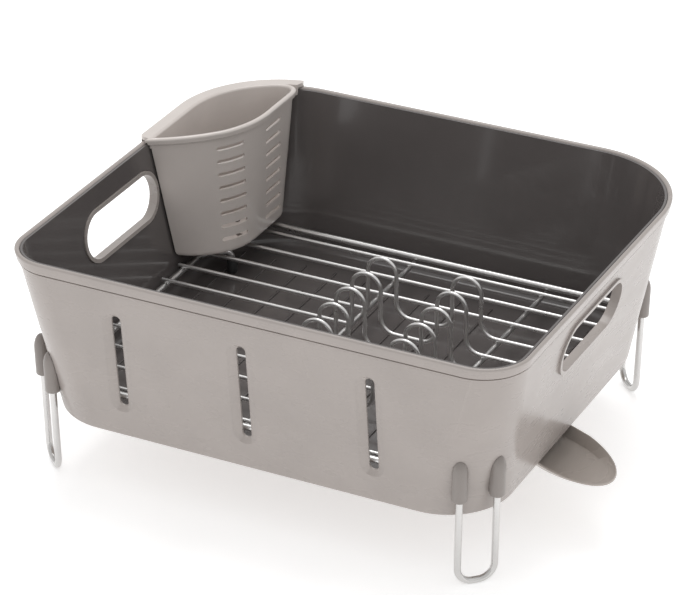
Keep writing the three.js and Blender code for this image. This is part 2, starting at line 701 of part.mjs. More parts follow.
function buildHolder() {
  const roll = 2.3;
  const lipFoot = HOLDER_TOP_Z - 5.5;
  const floor = HOLDER_BOTTOM_Z + HOLDER_WALL;
  const rings = [
    shrink(holderOutline(HOLDER_BOTTOM_Z), 2.6),
    shrink(holderOutline(HOLDER_BOTTOM_Z + 1.2), 0.8),
    holderOutline(HOLDER_BOTTOM_Z + 4),
    holderOutline((HOLDER_BOTTOM_Z + lipFoot) / 2),
    holderOutline(lipFoot),
    shrink(holderOutline(lipFoot + 0.8), -roll * 0.8),
    shrink(holderOutline(HOLDER_TOP_Z - 2), -roll),
    shrink(holderOutline(HOLDER_TOP_Z), -roll * 0.2),
    shrink(holderOutline(HOLDER_TOP_Z), HOLDER_WALL * 0.7),
    shrink(holderOutline(HOLDER_TOP_Z - 1), HOLDER_WALL),
    shrink(holderOutline(floor + 3), HOLDER_WALL),
    shrink(holderOutline(floor), HOLDER_WALL + 1.6),
  ];
  let solid = toSolid(loft(rings));
  solid = solid.subtract(rimSpace()).add(buildHook());
  for (const y of VENT_Y) {
    for (let row = 0; row < VENT_ROWS; row += 1) {
      solid = solid.subtract(ventCut(y, VENT_TOP_Z - row * VENT_PITCH));
    }
  }
  for (let i = 0; i < 6; i += 1) {
    const hole = discAt(-160 + 13 * (i % 2), 72 + 20 * Math.floor(i / 2), floor, 2.5, 12, 10);
    solid = solid.subtract(toSolid(hole));
  }
  return solid;
}

// the tub's rolled rim with a clearance all round, which the hook straddles
function rimSpace() {
  const rings = [RIM_Z - 12, RIM_Z + HOOK_CLEAR].map((z) => tubOutline(z, -HOOK_CLEAR));
  return toSolid(loft(rings)).subtract(tubInside(TRAY_INNER + HOOK_CLEAR));
}

function buildHook() {
  const out = HOOK_CLEAR + HOOK_THICK;
  const whole = toSolid(loft([
    tubOutline(RIM_Z - HOOK_DROP, -out + 1),
    tubOutline(RIM_Z - HOOK_DROP + 1, -out),
    tubOutline(HOLDER_TOP_Z - 2, -out),
    tubOutline(HOLDER_TOP_Z - 0.6, -out + 0.8),
    tubOutline(HOLDER_TOP_Z, -out + 2.4),
  ]));
  const inner = HOLDER_CLEAR[1] + 1;
  const outerX = wallLeft(RIM_Z, -out);
  const outerY = RIM_Y + out;
  const [front, right] = [HOLDER_FRONT_Y[1], HOLDER_RIGHT_X[1]];
  const plan = new THREE.Shape();
  plan.moveTo(wallLeft(RIM_Z, inner), front);
  plan.lineTo(right, outerY - HOOK_ROUND);
  plan.quadraticCurveTo(right, outerY, right - HOOK_ROUND, outerY);
  plan.lineTo(right - HOOK_ROUND, outerY + 30);
  plan.lineTo(outerX - 30, outerY + 30);
  plan.lineTo(outerX - 30, front + HOOK_ROUND);
  plan.lineTo(outerX, front + HOOK_ROUND);
  plan.quadraticCurveTo(outerX, front, outerX + HOOK_ROUND, front);
  const region = new THREE.ExtrudeGeometry(plan, { depth: 60, bevelEnabled: false, curveSegments: 5 });
  const strip = whole.subtract(tubInside(inner)).subtract(rimSpace());
  return strip.intersect(toSolid(region.translate(0, 0, RIM_Z - 30)));
}

addMesh('utensil_holder', toGeometry(buildHolder()), FINISH.holder);

// ---------------------------------------------------------------- drain and spout

const COLLAR_FLANGE_Z = TRAY_FLOOR_Z + GAP + 1.5 + GAP;

function ringPart(profile, sides = 32) {
  const points = profile.map(([r, z]) => new THREE.Vector2(r, z));
  const lathe = new THREE.LatheGeometry([...points, points[0]], sides).rotateX(Math.PI / 2);
  return lathe.translate(PIVOT[0], PIVOT[1], 0);
}

// a collar through both floors, with a ledge for the grate and a lip that holds the snap ring
const collar = ringPart([
  [DRAIN_BORE, SPOUT_RIM_Z - 6.5],
  [COLLAR_RADIUS + 1.3, SPOUT_RIM_Z - 6.5],
  [COLLAR_RADIUS + 1.3, SPOUT_RIM_Z - 5],
  [COLLAR_RADIUS, SPOUT_RIM_Z - 4.4],
  [COLLAR_RADIUS, COLLAR_FLANGE_Z],
  [COLLAR_RADIUS + 6, COLLAR_FLANGE_Z],
  [COLLAR_RADIUS + 5.2, COLLAR_FLANGE_Z + 1.4],
  [DRAIN_BORE + 1.4, COLLAR_FLANGE_Z + 1.8],
  [DRAIN_BORE + 1.4, COLLAR_FLANGE_Z],
  [DRAIN_BORE, COLLAR_FLANGE_Z],
]);
addMesh('drain_collar', collar, FINISH.spout);

const seal = ringPart([
  [COLLAR_RADIUS + GAP, TRAY_FLOOR_Z + GAP],
  [COLLAR_RADIUS + 5.4, TRAY_FLOOR_Z + GAP],
  [COLLAR_RADIUS + 5.4, TRAY_FLOOR_Z + GAP + 1.5],
  [COLLAR_RADIUS + GAP, TRAY_FLOOR_Z + GAP + 1.5],
]);
addMesh('drain_seal', seal, FINISH.dark);

const snapRing = ringPart([
  [COLLAR_RADIUS + GAP, SPOUT_RIM_Z - 4.1],
  [COLLAR_RADIUS + 3.6, SPOUT_RIM_Z - 4.1],
  [COLLAR_RADIUS + 3.6, SPOUT_RIM_Z - 2.3],
  [COLLAR_RADIUS + GAP, SPOUT_RIM_Z - 2.3],
]);
addMesh('spout_snap_ring', snapRing, FINISH.steel);

function buildGrate() {
  const z = COLLAR_FLANGE_Z + GAP + 0.7;
  let solid = toSolid(discAt(PIVOT[0], PIVOT[1], z, DRAIN_BORE + 1.1, 1.4));
  for (let i = 0; i < 7; i += 1) {
    const angle = (i * Math.PI) / 3;
    const reach = i < 6 ? 6.2 : 0;
    const x = PIVOT[0] + reach * Math.cos(angle);
    const y = PIVOT[1] + reach * Math.sin(angle);
    solid = solid.subtract(toSolid(discAt(x, y, z, 2.3, 6, 10)));
  }
  return toGeometry(solid);
}
addMesh('drain_grate', buildGrate(), FINISH.steel);

// the spout's rim seen from above, along +X from the pivot, moved in by `inward`
function spoutOutline(inward, depth) {
  const points = [];
  const hub = SPOUT_HUB - inward;
  const half = SPOUT_HALF_WIDTH - inward;
  const nose = SPOUT_REACH - SPOUT_WIDEST - inward;
  for (let i = 0; i <= 20; i += 1) {
    const angle = -Math.PI / 2 + (i / 20) * Math.PI;
    points.push([SPOUT_WIDEST + nose * Math.cos(angle), half * Math.sin(angle)]);
  }
  for (let i = 0; i <= 12; i += 1) {
    const angle = Math.PI / 2 + (i / 12) * Math.PI;
    points.push([hub * Math.cos(angle), hub * Math.sin(angle)]);
  }
  return points.map(([x, y]) => {
    const t = Math.max(0, x / SPOUT_REACH) ** 1.5;
    return at(x, y, SPOUT_RIM_Z - (depth > 0 ? mix(SPOUT_DEPTH, t) - (1 - depth) * SPOUT_WALL : 0));
  });
}

function buildSpout() {
  const trough = loft([
    spoutOutline(SPOUT_SLOPE, 1),
    spoutOutline(0, 0).map((p) => p.setZ(SPOUT_RIM_Z - 1.2)),
    spoutOutline(0.2, 0),
    spoutOutline(SPOUT_WALL, 0),
    spoutOutline(SPOUT_WALL + SPOUT_SLOPE, 0.001),
  ]);
  const plate = toSolid(discAt(0, 0, SPOUT_RIM_Z - 1, SPOUT_HUB - 1, 1.8));
  const eye = toSolid(discAt(0, 0, SPOUT_RIM_Z, COLLAR_RADIUS + GAP, 8));
  return toGeometry(toSolid(trough).add(plate).subtract(eye));
}

const spout = addMesh('spout', buildSpout(), FINISH.spout);
spout.rotation.z = THREE.MathUtils.degToRad(SPOUT_TURN);
spout.position.set(PIVOT[0], PIVOT[1], 0);

// the origin is under the middle of the whole rack's box, on the surface that it stands on
const box = new THREE.Box3().setFromObject(rack, true);
rack.position.set(-(box.min.x + box.max.x) / 2, -(box.min.y + box.max.y) / 2, 0);

export default rack;
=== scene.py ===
"""Dish drying rack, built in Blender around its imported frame.

The tub, drip tray, utensil holder and spout are lofted skins cut with rounded openings. Every wire
is a smooth tube with a bead of weld where it crosses another. Lengths are in millimetres from the
middle of the tub's rim and from the ground; to_row() turns a point into metres in the row frame.
"""
import json
import math

import bmesh
import bpy
from mathutils import Matrix, Quaternion, Vector

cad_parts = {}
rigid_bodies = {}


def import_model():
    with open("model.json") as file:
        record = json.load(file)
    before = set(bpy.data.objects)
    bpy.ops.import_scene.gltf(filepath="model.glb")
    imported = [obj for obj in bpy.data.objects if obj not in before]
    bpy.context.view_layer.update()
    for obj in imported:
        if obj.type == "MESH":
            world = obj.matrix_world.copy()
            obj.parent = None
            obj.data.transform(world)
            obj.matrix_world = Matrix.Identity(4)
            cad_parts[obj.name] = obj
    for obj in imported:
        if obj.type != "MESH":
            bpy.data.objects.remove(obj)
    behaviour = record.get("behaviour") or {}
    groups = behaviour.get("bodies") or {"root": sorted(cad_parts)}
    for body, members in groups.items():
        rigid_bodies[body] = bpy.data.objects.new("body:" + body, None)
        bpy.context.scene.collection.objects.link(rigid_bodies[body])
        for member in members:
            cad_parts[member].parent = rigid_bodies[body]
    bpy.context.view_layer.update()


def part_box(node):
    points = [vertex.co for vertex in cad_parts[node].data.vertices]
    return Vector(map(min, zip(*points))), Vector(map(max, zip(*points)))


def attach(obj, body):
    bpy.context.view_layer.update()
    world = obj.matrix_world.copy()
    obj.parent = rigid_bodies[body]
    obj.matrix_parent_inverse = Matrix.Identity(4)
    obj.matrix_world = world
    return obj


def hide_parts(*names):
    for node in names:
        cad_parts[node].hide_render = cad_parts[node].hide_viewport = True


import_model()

# ---------------------------------------------------------------- driving dimensions

MM = 0.001
GAP = 0.3  # clearance left between neighbouring pieces

RIM_X = 195
RIM_Y = 173.5
RIM_Z = 181
UNDERSIDE_Z = 51.5
# how far each wall leans in from the rim to the underside
DRAFT = {"left": 17, "right": 24, "front": 14, "back": 20}
# corner radii in plan, at the rim and at the underside
RADIUS_FRONT = (34, 50)
RADIUS_BACK = (80, 66)
CORNER_STEPS = 24

BEVEL_ANGLE = 40
BEVEL_SEGMENTS = 3
SMOOTH_ANGLE = 48

BEAD_HEIGHT = 8
BEAD_PROUD = 1.5
SHELL_WALL = 2.2
SHELL_FLOOR = 2.4
TRAY_WALL = 1.8
TRAY_FLOOR = 2.2
RIB_PITCH = 26
RIBS_EACH_SIDE = 6
RIB_LENGTH = 237
RIB_WIDTH = 1.6
RIB_HEIGHT = 1.2

SLOT_X = (-105, -8, 89)
SLOT_Z = (75.5, 150.5)
SLOT_WIDTH = 7
SURROUND_WIDTH = 19.4
SURROUND_DEPTH = 3.2
SURROUND_EXTRA = 3.5
HAND_Y = -19
HAND_Z = 143
HAND_LENGTH = 101
HAND_HEIGHT = 35
HAND_LIP = 3
HAND_LIP_PROUD = 1.6

WIRE = 3.1
FRAME_WIRE = 4.6
CROSS_WIRE = 4.0
WIRE_Z = 78.6
WIRE_PITCH = 26.1
WIRE_BACK_Y = 119.3
WIRE_COUNT = 11
PLAIN_WIRES_BEHIND = 3
WIRE_END_CLEAR = 3.5
END_WIRE_X = (-168.5, 162.5)
CROSS_WIRE_X = (-17.5, 90.5)
EDGE_WIRE_Y = (-150.5, 130.5)
FIN_X = (-1.8, 66)
FIN_WIDTH = 23
FIN_TOP_Z = 123.1
FIN_FLARE = 12
FIN_TIGHT = 4.5
LEG_Y = (-124, 86)
LEG_INSET = 18
LEG_TURN = 16  # from a leg's line to where the end wire runs straight
CAP_HEIGHT = 11

FOOT_WIRE = 5
FOOT_SPAN = 27
FOOT_TOP_Z = 77
FOOT_BEND = 11.5
FOOT_LEAN = 1.6
SOCKET_Z = 68.8
SOCKET_TOP_Z = 101
SOCKET_RADIUS = 5.5
SOCKET_DOME = 11  # height of a socket's pointed top
FEET = {
    "front_left": (-175.5, -140),
    "front_right": (160.6, -146.6),
    "back_left": (-164, 141),
    "back_right": (152.5, 147),
}

HOLDER_TOP_Z = 184.4
HOLDER_BOTTOM_Z = 84
HOLDER_WALL = 2
HOLDER_CLEAR = (7.5, 7)
HOLDER_RIGHT_X = (-133.5, -132)
HOLDER_FRONT_MIDDLE = ((-150, 56), (-151, 61))
HOLDER_FRONT_END = ((-133.5, 88), (-132, 88))
HOLDER_FRONT_Y = (43, 31)
HOLDER_CORNER = 16
HOLDER_SOFT = (9, 24)
HOOK_THICK = 2.4
HOOK_DROP = 5
HOOK_CLEAR = 0.6
HOOK_ROUND = 8
VENT_ROWS = 8
VENT_PITCH = 10.6
VENT_TOP_Z = 170
VENT_HEIGHT = 3.3
VENT_LENGTH = 24
VENT_Y = (72, 121)

PIVOT = (136, -9)
SPOUT_TURN = -32
SPOUT_REACH = 100
SPOUT_HUB = 21
SPOUT_HALF_WIDTH = 26.5
SPOUT_WIDEST = 42
SPOUT_RIM_Z = 49.5
SPOUT_DEPTH = (10, 3)
SPOUT_WALL = 1.7
SPOUT_SLOPE = 5
COLLAR_RADIUS = 12.7
DRAIN_BORE = 9.6
SEAL_THICK = 1.5

TRAY_OUTER = BEAD_PROUD + SHELL_WALL + GAP
TRAY_INNER = TRAY_OUTER + TRAY_WALL
TRAY_TOP_Z = RIM_Z - 1.2
BOSS_DEPTH = TRAY_INNER - BEAD_PROUD + 0.3  # slot surrounds pass through the tray's wall
SLEEVE = (BEAD_PROUD - HAND_LIP_PROUD, TRAY_INNER + 1)  # a hand hole's sleeve, out and in
TRAY_UNDER_Z = UNDERSIDE_Z + SHELL_FLOOR + GAP
TRAY_FLOOR_Z = TRAY_UNDER_Z + TRAY_FLOOR
FRAME_Z = WIRE_Z - WIRE / 2 - FRAME_WIRE / 2 - GAP
COLLAR_FLANGE_Z = TRAY_FLOOR_Z + GAP + SEAL_THICK + GAP

tub_low, tub_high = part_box("outer_shell")
TUB_MIDDLE = ((tub_low[0] + tub_high[0]) / 2, (tub_low[1] + tub_high[1]) / 2)


def to_row(point):
    """Millimetres from the middle of the rim to metres in the row frame."""
    x, y, z = point
    return Vector((TUB_MIDDLE[0] + x * MM, TUB_MIDDLE[1] + y * MM, z * MM))


def mix(pair, t):
    return pair[0] + (pair[1] - pair[0]) * t


# ---------------------------------------------------------------- materials


class Nodes:
    """A material's node tree with short calls for the nodes used here."""

    def __init__(self, name):
        self.material = bpy.data.materials.new(name)
        self.material.use_nodes = True
        self.tree = self.material.node_tree
        self.shader = self.tree.nodes["Principled BSDF"]
        self.space = self.tree.nodes.new("ShaderNodeTexCoord").outputs["Object"]

    def link(self, source, target):
        self.tree.links.new(source, target)

    def stretched(self, scale):
        mapping = self.tree.nodes.new("ShaderNodeMapping")
        mapping.inputs["Scale"].default_value = scale
        self.link(self.space, mapping.inputs["Vector"])
        return mapping.outputs["Vector"]

    def noise(self, scale, detail=3.0, rough=0.5, space=None):
        node = self.tree.nodes.new("ShaderNodeTexNoise")
        node.inputs["Scale"].default_value = scale
        node.inputs["Detail"].default_value = detail
        node.inputs["Roughness"].default_value = rough
        self.link(space or self.space, node.inputs["Vector"])
        return node.outputs["Fac"]

    def spread(self, fac, low, high, start=0.3, stop=0.7):
        node = self.tree.nodes.new("ShaderNodeMapRange")
        node.inputs["From Min"].default_value = start
        node.inputs["From Max"].default_value = stop
        node.inputs["To Min"].default_value = low
        node.inputs["To Max"].default_value = high
        self.link(fac, node.inputs["Value"])
        return node.outputs["Result"]

    def ramp(self, fac, low, high, start=0.35, stop=0.65):
        node = self.tree.nodes.new("ShaderNodeValToRGB")
        node.color_ramp.elements[0].position = start
        node.color_ramp.elements[0].color = (*low, 1)
        node.color_ramp.elements[1].position = stop
        node.color_ramp.elements[1].color = (*high, 1)
        self.link(fac, node.inputs["Fac"])
        return node.outputs["Color"]

    def bump(self, height, strength, distance, before=None):
        node = self.tree.nodes.new("ShaderNodeBump")
        node.inputs["Strength"].default_value = strength
        node.inputs["Distance"].default_value = distance
        self.link(height, node.inputs["Height"])
        if before:
            self.link(before, node.inputs["Normal"])
        return node.outputs["Normal"]

    def set(self, name, value):
        self.shader.inputs[name].default_value = value


def tint(color, amount):
    return tuple(min(1, c * amount) for c in color)


def plastic(name, color, roughness, coat=0.0):
    """Moulded plastic: cloudy colour, a fine moulded skin, and handling marks in its gloss."""
    m = Nodes(name)
    m.link(m.ramp(m.noise(26, 4), tint(color, 0.97), tint(color, 1.03)), m.shader.inputs["Base Color"])
    marks = m.noise(45, 3, 0.5, m.stretched((1, 0.6, 2.2)))
    m.link(m.spread(marks, roughness * 0.9, roughness * 1.12), m.shader.inputs["Roughness"])
    skin = m.bump(m.noise(900, 2), 0.04, 0.00004)
    flow = m.bump(m.noise(14, 1), 0.08, 0.0005, skin)
    m.link(flow, m.shader.inputs["Normal"])
    m.set("IOR", 1.5)
    m.set("Coat Weight", coat)
    m.set("Coat Roughness", 0.08)
    return m.material


def steel(name, color, roughness):
    """Drawn steel wire: polished, with fine lines and slightly uneven gloss."""
    m = Nodes(name)
    m.set("Metallic", 1.0)
    m.link(m.ramp(m.noise(60, 2), tint(color, 0.96), color), m.shader.inputs["Base Color"])
    m.link(m.spread(m.noise(90, 3, 0.5), roughness * 0.88, roughness * 1.15), m.shader.inputs["Roughness"])
    lines = m.noise(700, 3, 0.6, m.stretched((0.12, 1, 1)))
    m.link(m.bump(lines, 0.02, 0.00003), m.shader.inputs["Normal"])
    return m.material


def rubber(name, color):
    m = Nodes(name)
    m.link(m.ramp(m.noise(120, 4), tint(color, 0.8), tint(color, 1.25)), m.shader.inputs["Base Color"])
    m.link(m.spread(m.noise(300, 3), 0.55, 0.75), m.shader.inputs["Roughness"])
    m.link(m.bump(m.noise(1800, 3), 0.3, 0.00008), m.shader.inputs["Normal"])
    return m.material


LOOK = {
    "shell": plastic("shell_plastic", (0.375, 0.336, 0.314), 0.28, coat=0.05),
    "tray": plastic("tray_plastic", (0.108, 0.096, 0.093), 0.22, coat=0.5),
    "holder": plastic("holder_plastic", (0.62, 0.565, 0.53), 0.22, coat=0.3),
    "spout": plastic("spout_plastic", (0.42, 0.375, 0.34), 0.26, coat=0.2),
    "socket": plastic("socket_plastic", (0.25, 0.223, 0.207), 0.34),
    "wire": steel("polished_wire", (0.8, 0.79, 0.78), 0.3),
    "foot_wire": steel("foot_wire_steel", (0.62, 0.61, 0.6), 0.24),
    "strainer": steel("strainer_steel", (0.66, 0.66, 0.65), 0.28),
    "rubber": rubber("cap_rubber", (0.03, 0.03, 0.03)),
}

# ---------------------------------------------------------------- pieces


def raw_object(name, points, faces):
    mesh = bpy.data.meshes.new(name)
    mesh.from_pydata([to_row(p) for p in points], [], faces)
    mesh.update()
    return bpy.data.objects.new(name, mesh)


def settle(obj, bevel=0.0):
    """Bevels the sharp edges, applies every modifier and shades the result smooth."""
    bpy.context.scene.collection.objects.link(obj)
    if bevel:
        rounding = obj.modifiers.new("rounding", "BEVEL")
        rounding.width = bevel * MM
        rounding.segments = BEVEL_SEGMENTS
        rounding.limit_method = "ANGLE"
        rounding.angle_limit = math.radians(BEVEL_ANGLE)
        rounding.use_clamp_overlap = True
    graph = bpy.context.evaluated_depsgraph_get()
    mesh = bpy.data.meshes.new_from_object(obj.evaluated_get(graph))
    obj.modifiers.clear()
    obj.data = mesh
    mesh.name = obj.name
    mesh.shade_smooth()
    mesh.set_sharp_from_angle(angle=math.radians(SMOOTH_ANGLE))
    return obj


def own(obj, body, slot, *nodes):
    """Gives a settled piece its material and its body, and hides the CAD nodes that it stands for."""
    obj.data.materials.clear()
    obj.data.materials.append(LOOK[slot])
    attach(obj, body)
    if nodes:
        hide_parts(*nodes)
    return obj


def even_normals(obj):
    weighted = obj.modifiers.new("even_normals", "WEIGHTED_NORMAL")
    weighted.keep_sharp = True


def cut(obj, tool, operation="DIFFERENCE"):
    """Cuts obj with tool, or joins tool to it, and throws the tool away."""
    scene = bpy.context.scene.collection.objects
    scene.link(obj)
    scene.link(tool)
    step = obj.modifiers.new("cut", "BOOLEAN")
    step.operation = operation
    step.solver = "MANIFOLD"
    step.object = tool
    graph = bpy.context.evaluated_depsgraph_get()
    mesh = bpy.data.meshes.new_from_object(obj.evaluated_get(graph))
    obj.modifiers.clear()
    obj.data = mesh
    scene.unlink(obj)
    bpy.data.objects.remove(tool)
    return obj


def joined(name, objects):
    """One raw object from several that don't touch."""
    shape = bmesh.new()
    for obj in objects:
        obj.data.transform(obj.matrix_basis)
        shape.from_mesh(obj.data)
        bpy.data.objects.remove(obj)
    mesh = bpy.data.meshes.new(name)
    shape.to_mesh(mesh)
    shape.free()
    return bpy.data.objects.new(name, mesh)


def loft(name, rings):
    """A closed skin through rings of equal length, each counter-clockwise from above."""
    size = len(rings[0])
    points = [p for ring in rings for p in ring]
    faces = []
    for r in range(len(rings) - 1):
        for i in range(size):
            a = r * size + i
            b = r * size + (i + 1) % size
            faces.append((a, b, b + size, a + size))
    faces.append(tuple(reversed(range(size))))
    faces.append(tuple(range((len(rings) - 1) * size, len(rings) * size)))
    return raw_object(name, points, faces)


def lathe(name, profile, place, axis=Vector((0, 0, 1)), sides=48):
    """Turns (radius, height) points round an axis through place. Radius 0 closes on the axis."""
    turn = Vector((0, 0, 1)).rotation_difference(axis)
    place = Vector(place)
    points = []
    rows = []
    for radius, height in profile:
        row = []
        count = 1 if radius == 0 else sides
        for i in range(count):
            angle = 2 * math.pi * i / sides
            local = Vector((radius * math.cos(angle), radius * math.sin(angle), height))
            row.append(len(points))
            points.append(place + turn @ local)
        rows.append(row)
    closed = profile[0][0] > 0
    faces = []
    for k in range(len(rows) if closed else len(rows) - 1):
        low, high = rows[k], rows[(k + 1) % len(rows)]
        for i in range(sides):
            j = (i + 1) % sides
            ring = [low[i % len(low)], low[j % len(low)], high[j % len(high)], high[i % len(high)]]
            faces.append(tuple(dict.fromkeys(ring)))
    return raw_object(name, points, faces)


def disc(x, y, z, radius, height, sides=40):
    half = height / 2
    return lathe("disc", [(0, -half), (radius, -half), (radius, half), (0, half)], (x, y, z), sides=sides)


def stadium(length, width, depth, steps=14):
    """A prism with round ends, along X, with its depth along Z and its middle at the origin."""
    radius = width / 2
    straight = length / 2 - radius
    outline = []
    for side, start in ((1, -90), (-1, 90)):
        for i in range(steps + 1):
            angle = math.radians(start + 180 * i / steps)
            outline.append((side * straight + radius * math.cos(angle), radius * math.sin(angle)))
    return [[Vector((x, y, z)) for x, y in outline] for z in (-depth / 2, depth / 2)]


def turned(rings, turns, shift):
    """Rings turned in order about world axes, in degrees, and then moved."""
    matrix = Matrix.Identity(3)
    for axis, degrees in turns:
        matrix = Matrix.Rotation(math.radians(degrees), 3, axis) @ matrix
    return [[matrix @ p + Vector(shift) for p in ring] for ring in rings]


def round_corner(before, corner, after, radius, steps):
    inward = (before - corner).normalized()
    outward = (after - corner).normalized()
    half = inward.angle(outward) / 2
    reach = radius / math.tan(half)
    centre = corner + (inward + outward).normalized() * radius / math.sin(half)
    start = corner + inward * reach - centre
    end = corner + outward * reach - centre
    axis = start.cross(end).normalized()
    turn = start.angle(end)
    return [centre + Quaternion(axis, turn * i / steps) @ start for i in range(steps + 1)]


def bent_path(corners, radii, steps=12):
    corners = [Vector(c) for c in corners]
    path = [corners[0]]
    for i, radius in enumerate(radii, 1):
        path += round_corner(corners[i - 1], corners[i], corners[i + 1], radius, steps)
    path.append(corners[-1])
    return path


def tube(name, path, diameter, sides=20):
    """A round wire along a path, with its two ends rounded over."""
    radius = diameter / 2
    path = [Vector(p) for p in path]
    lead = (path[1] - path[0]).normalized()
    tail = (path[-1] - path[-2]).normalized()
    ends = [(0.0, 0.35), (0.18, 0.72), (0.45, 0.93)]
    stations = [(path[0] + lead * radius * along, lead, size) for along, size in ends]
    stations.append((path[0] + lead * radius, lead, 1))
    for i in range(1, len(path) - 1):
        direction = ((path[i] - path[i - 1]).normalized() + (path[i + 1] - path[i]).normalized()).normalized()
        stations.append((path[i], direction, 1))
    stations.append((path[-1] - tail * radius, tail, 1))
    stations += [(path[-1] - tail * radius * along, tail, size) for along, size in reversed(ends)]
    across = lead.orthogonal().normalized()
    before = lead
    points = []
    for place, direction, size in stations:
        across = before.rotation_difference(direction) @ across
        other = direction.cross(across)
        before = direction
        for k in range(sides):
            angle = 2 * math.pi * k / sides
            points.append(place + (across * math.cos(angle) + other * math.sin(angle)) * radius * size)
    faces = []
    for s in range(len(stations) - 1):
        for k in range(sides):
            a = s * sides + k
            b = s * sides + (k + 1) % sides
            faces.append((a, b, b + sides, a + sides))
    faces.append(tuple(reversed(range(sides))))
    faces.append(tuple(range((len(stations) - 1) * sides, len(stations) * sides)))
    return raw_object(name, points, faces)


# ---------------------------------------------------------------- tub


def wall(side, z, inward):
    """Where the tub's outer face is at height z, less inward."""
    t = (RIM_Z - z) / (RIM_Z - UNDERSIDE_Z)
    half = RIM_X if side in ("left", "right") else RIM_Y
    place = half - DRAFT[side] * t - inward
    return -place if side in ("left", "front") else place


def tub_outline(z, inward):
    """The tub's outline at height z, less inward."""
    t = (RIM_Z - z) / (RIM_Z - UNDERSIDE_Z)
    left, right = wall("left", z, inward), wall("right", z, inward)
    front, back = wall("front", z, inward), wall("back", z, inward)
    near = mix(RADIUS_FRONT, t) - inward
    far = mix(RADIUS_BACK, t) - inward
    corners = [
        (right - far, back - far, far),
        (left + far, back - far, far),
        (left + near, front + near, near),
        (right - near, front + near, near),
    ]
    ring = []
    for quarter, (x, y, radius) in enumerate(corners):
        for i in range(CORNER_STEPS + 1):
            angle = (quarter + i / CORNER_STEPS) * math.pi / 2
            ring.append(Vector((x + radius * math.cos(angle), y + radius * math.sin(angle), z)))
    return ring


def wall_at(side, y, z, inward):
    """Where the left (-1) or right (1) wall is at y, corners included."""
    t = (RIM_Z - z) / (RIM_Z - UNDERSIDE_Z)
    face = wall("left" if side < 0 else "right", z, inward)
    radius = mix(RADIUS_BACK if y > 0 else RADIUS_FRONT, t) - inward
    limit = RIM_Y - (DRAFT["back"] if y > 0 else DRAFT["front"]) * t - inward
    into = max(0, abs(y) - (limit - radius))
    return face - side * (radius - math.sqrt(radius * radius - into * into))


def tub_inside(inward):
    return loft("inside", [tub_outline(UNDERSIDE_Z - 30, inward), tub_outline(RIM_Z + 30, inward)])


def on_front_wall(rings, x):
    """Turns flat rings, with +Z outwards, on to the front wall at a slot."""
    middle = sum(SLOT_Z) / 2
    lean = math.degrees(math.atan2(DRAFT["front"], RIM_Z - UNDERSIDE_Z))
    place = (x, wall("front", middle, BEAD_PROUD), middle)
    return loft("slot", turned(rings, (("Z", 90), ("X", 90), ("X", lean)), place))


def slot_prism(x, width, extra, depth):
    return on_front_wall(stadium(SLOT_Z[1] - SLOT_Z[0] + 2 * extra, width, depth), x)


def funnel(x):
    """The sloped surround, from a little outside the wall down to the slot's own edge."""
    length = SLOT_Z[1] - SLOT_Z[0]
    inner = [Vector((p.x, p.y, -SURROUND_DEPTH)) for p in stadium(length, SLOT_WIDTH, 1)[0]]
    outer = [Vector((p.x, p.y, 0)) for p in stadium(length + 2 * SURROUND_EXTRA, SURROUND_WIDTH, 1)[0]]
    return on_front_wall([inner, [p.lerp(q, -0.1) for p, q in zip(outer, inner)]], x)


def hand_prism(side, grow, depth):
    name = "left" if side < 0 else "right"
    lean = math.degrees(math.atan2(DRAFT[name], RIM_Z - UNDERSIDE_Z))
    place = (wall(name, HAND_Z, mix(SLEEVE, 0.5)), HAND_Y, HAND_Z)
    rings = stadium(HAND_LENGTH + 2 * grow, HAND_HEIGHT + 2 * grow, depth, 24)
    return loft("hand", turned(rings, (("X", 90), ("Z", 90), ("Y", side * lean)), place))


def rolled(centre, reach, start, stop, steps):
    """(inward, z) points round a quarter or half of a rolled edge."""
    points = []
    for i in range(steps + 1):
        angle = math.radians(start + (stop - start) * i / steps)
        points.append((centre[0] - reach[0] * math.cos(angle), centre[1] + reach[1] * math.sin(angle)))
    return points


def build_shell():
    foot = RIM_Z - BEAD_HEIGHT
    inner = BEAD_PROUD + SHELL_WALL
    floor = UNDERSIDE_Z + SHELL_FLOOR
    profile = rolled((BEAD_PROUD + 2, UNDERSIDE_Z + 2), (2, 2), -90, 0, 6)
    profile += [(BEAD_PROUD, foot - 3), (BEAD_PROUD - 0.6, foot - 2.4), (BEAD_PROUD - 0.6, foot - 1.3)]
    profile += [(BEAD_PROUD + 0.5, foot - 1), (BEAD_PROUD + 0.5, foot - 0.2), (0.4, foot), (0, foot + 1)]
    profile += rolled((1.7, RIM_Z - 1.7), (1.7, 1.7), 0, 90, 6)
    profile += rolled((inner - 1.7, RIM_Z - 1.7), (1.7, 1.7), 90, 180, 6)
    profile += list(reversed(rolled((inner + 3, floor + 3), (3, 3), -90, 0, 5)))
    shell = loft("tub_shell", [tub_outline(z, inward) for inward, z in profile])
    for x in SLOT_X:
        boss = slot_prism(x, SURROUND_WIDTH + 2, SURROUND_EXTRA + 1, 2 * BOSS_DEPTH)
        boss = cut(boss, tub_inside(BEAD_PROUD + 0.2), "INTERSECT")
        shell = cut(shell, boss, "UNION")
        shell = cut(shell, funnel(x))
        shell = cut(shell, slot_prism(x, SLOT_WIDTH, 0, 24))
    for side in (-1, 1):
        shell = cut(shell, hand_prism(side, HAND_LIP, SLEEVE[1] - SLEEVE[0]), "UNION")
        shell = cut(shell, hand_prism(side, 0, 60))
    shell = cut(shell, disc(*PIVOT, UNDERSIDE_Z, COLLAR_RADIUS + GAP, 40))
    settle(shell, 0.45)
    even_normals(shell)
    own(shell, "tub", "shell", "outer_shell")


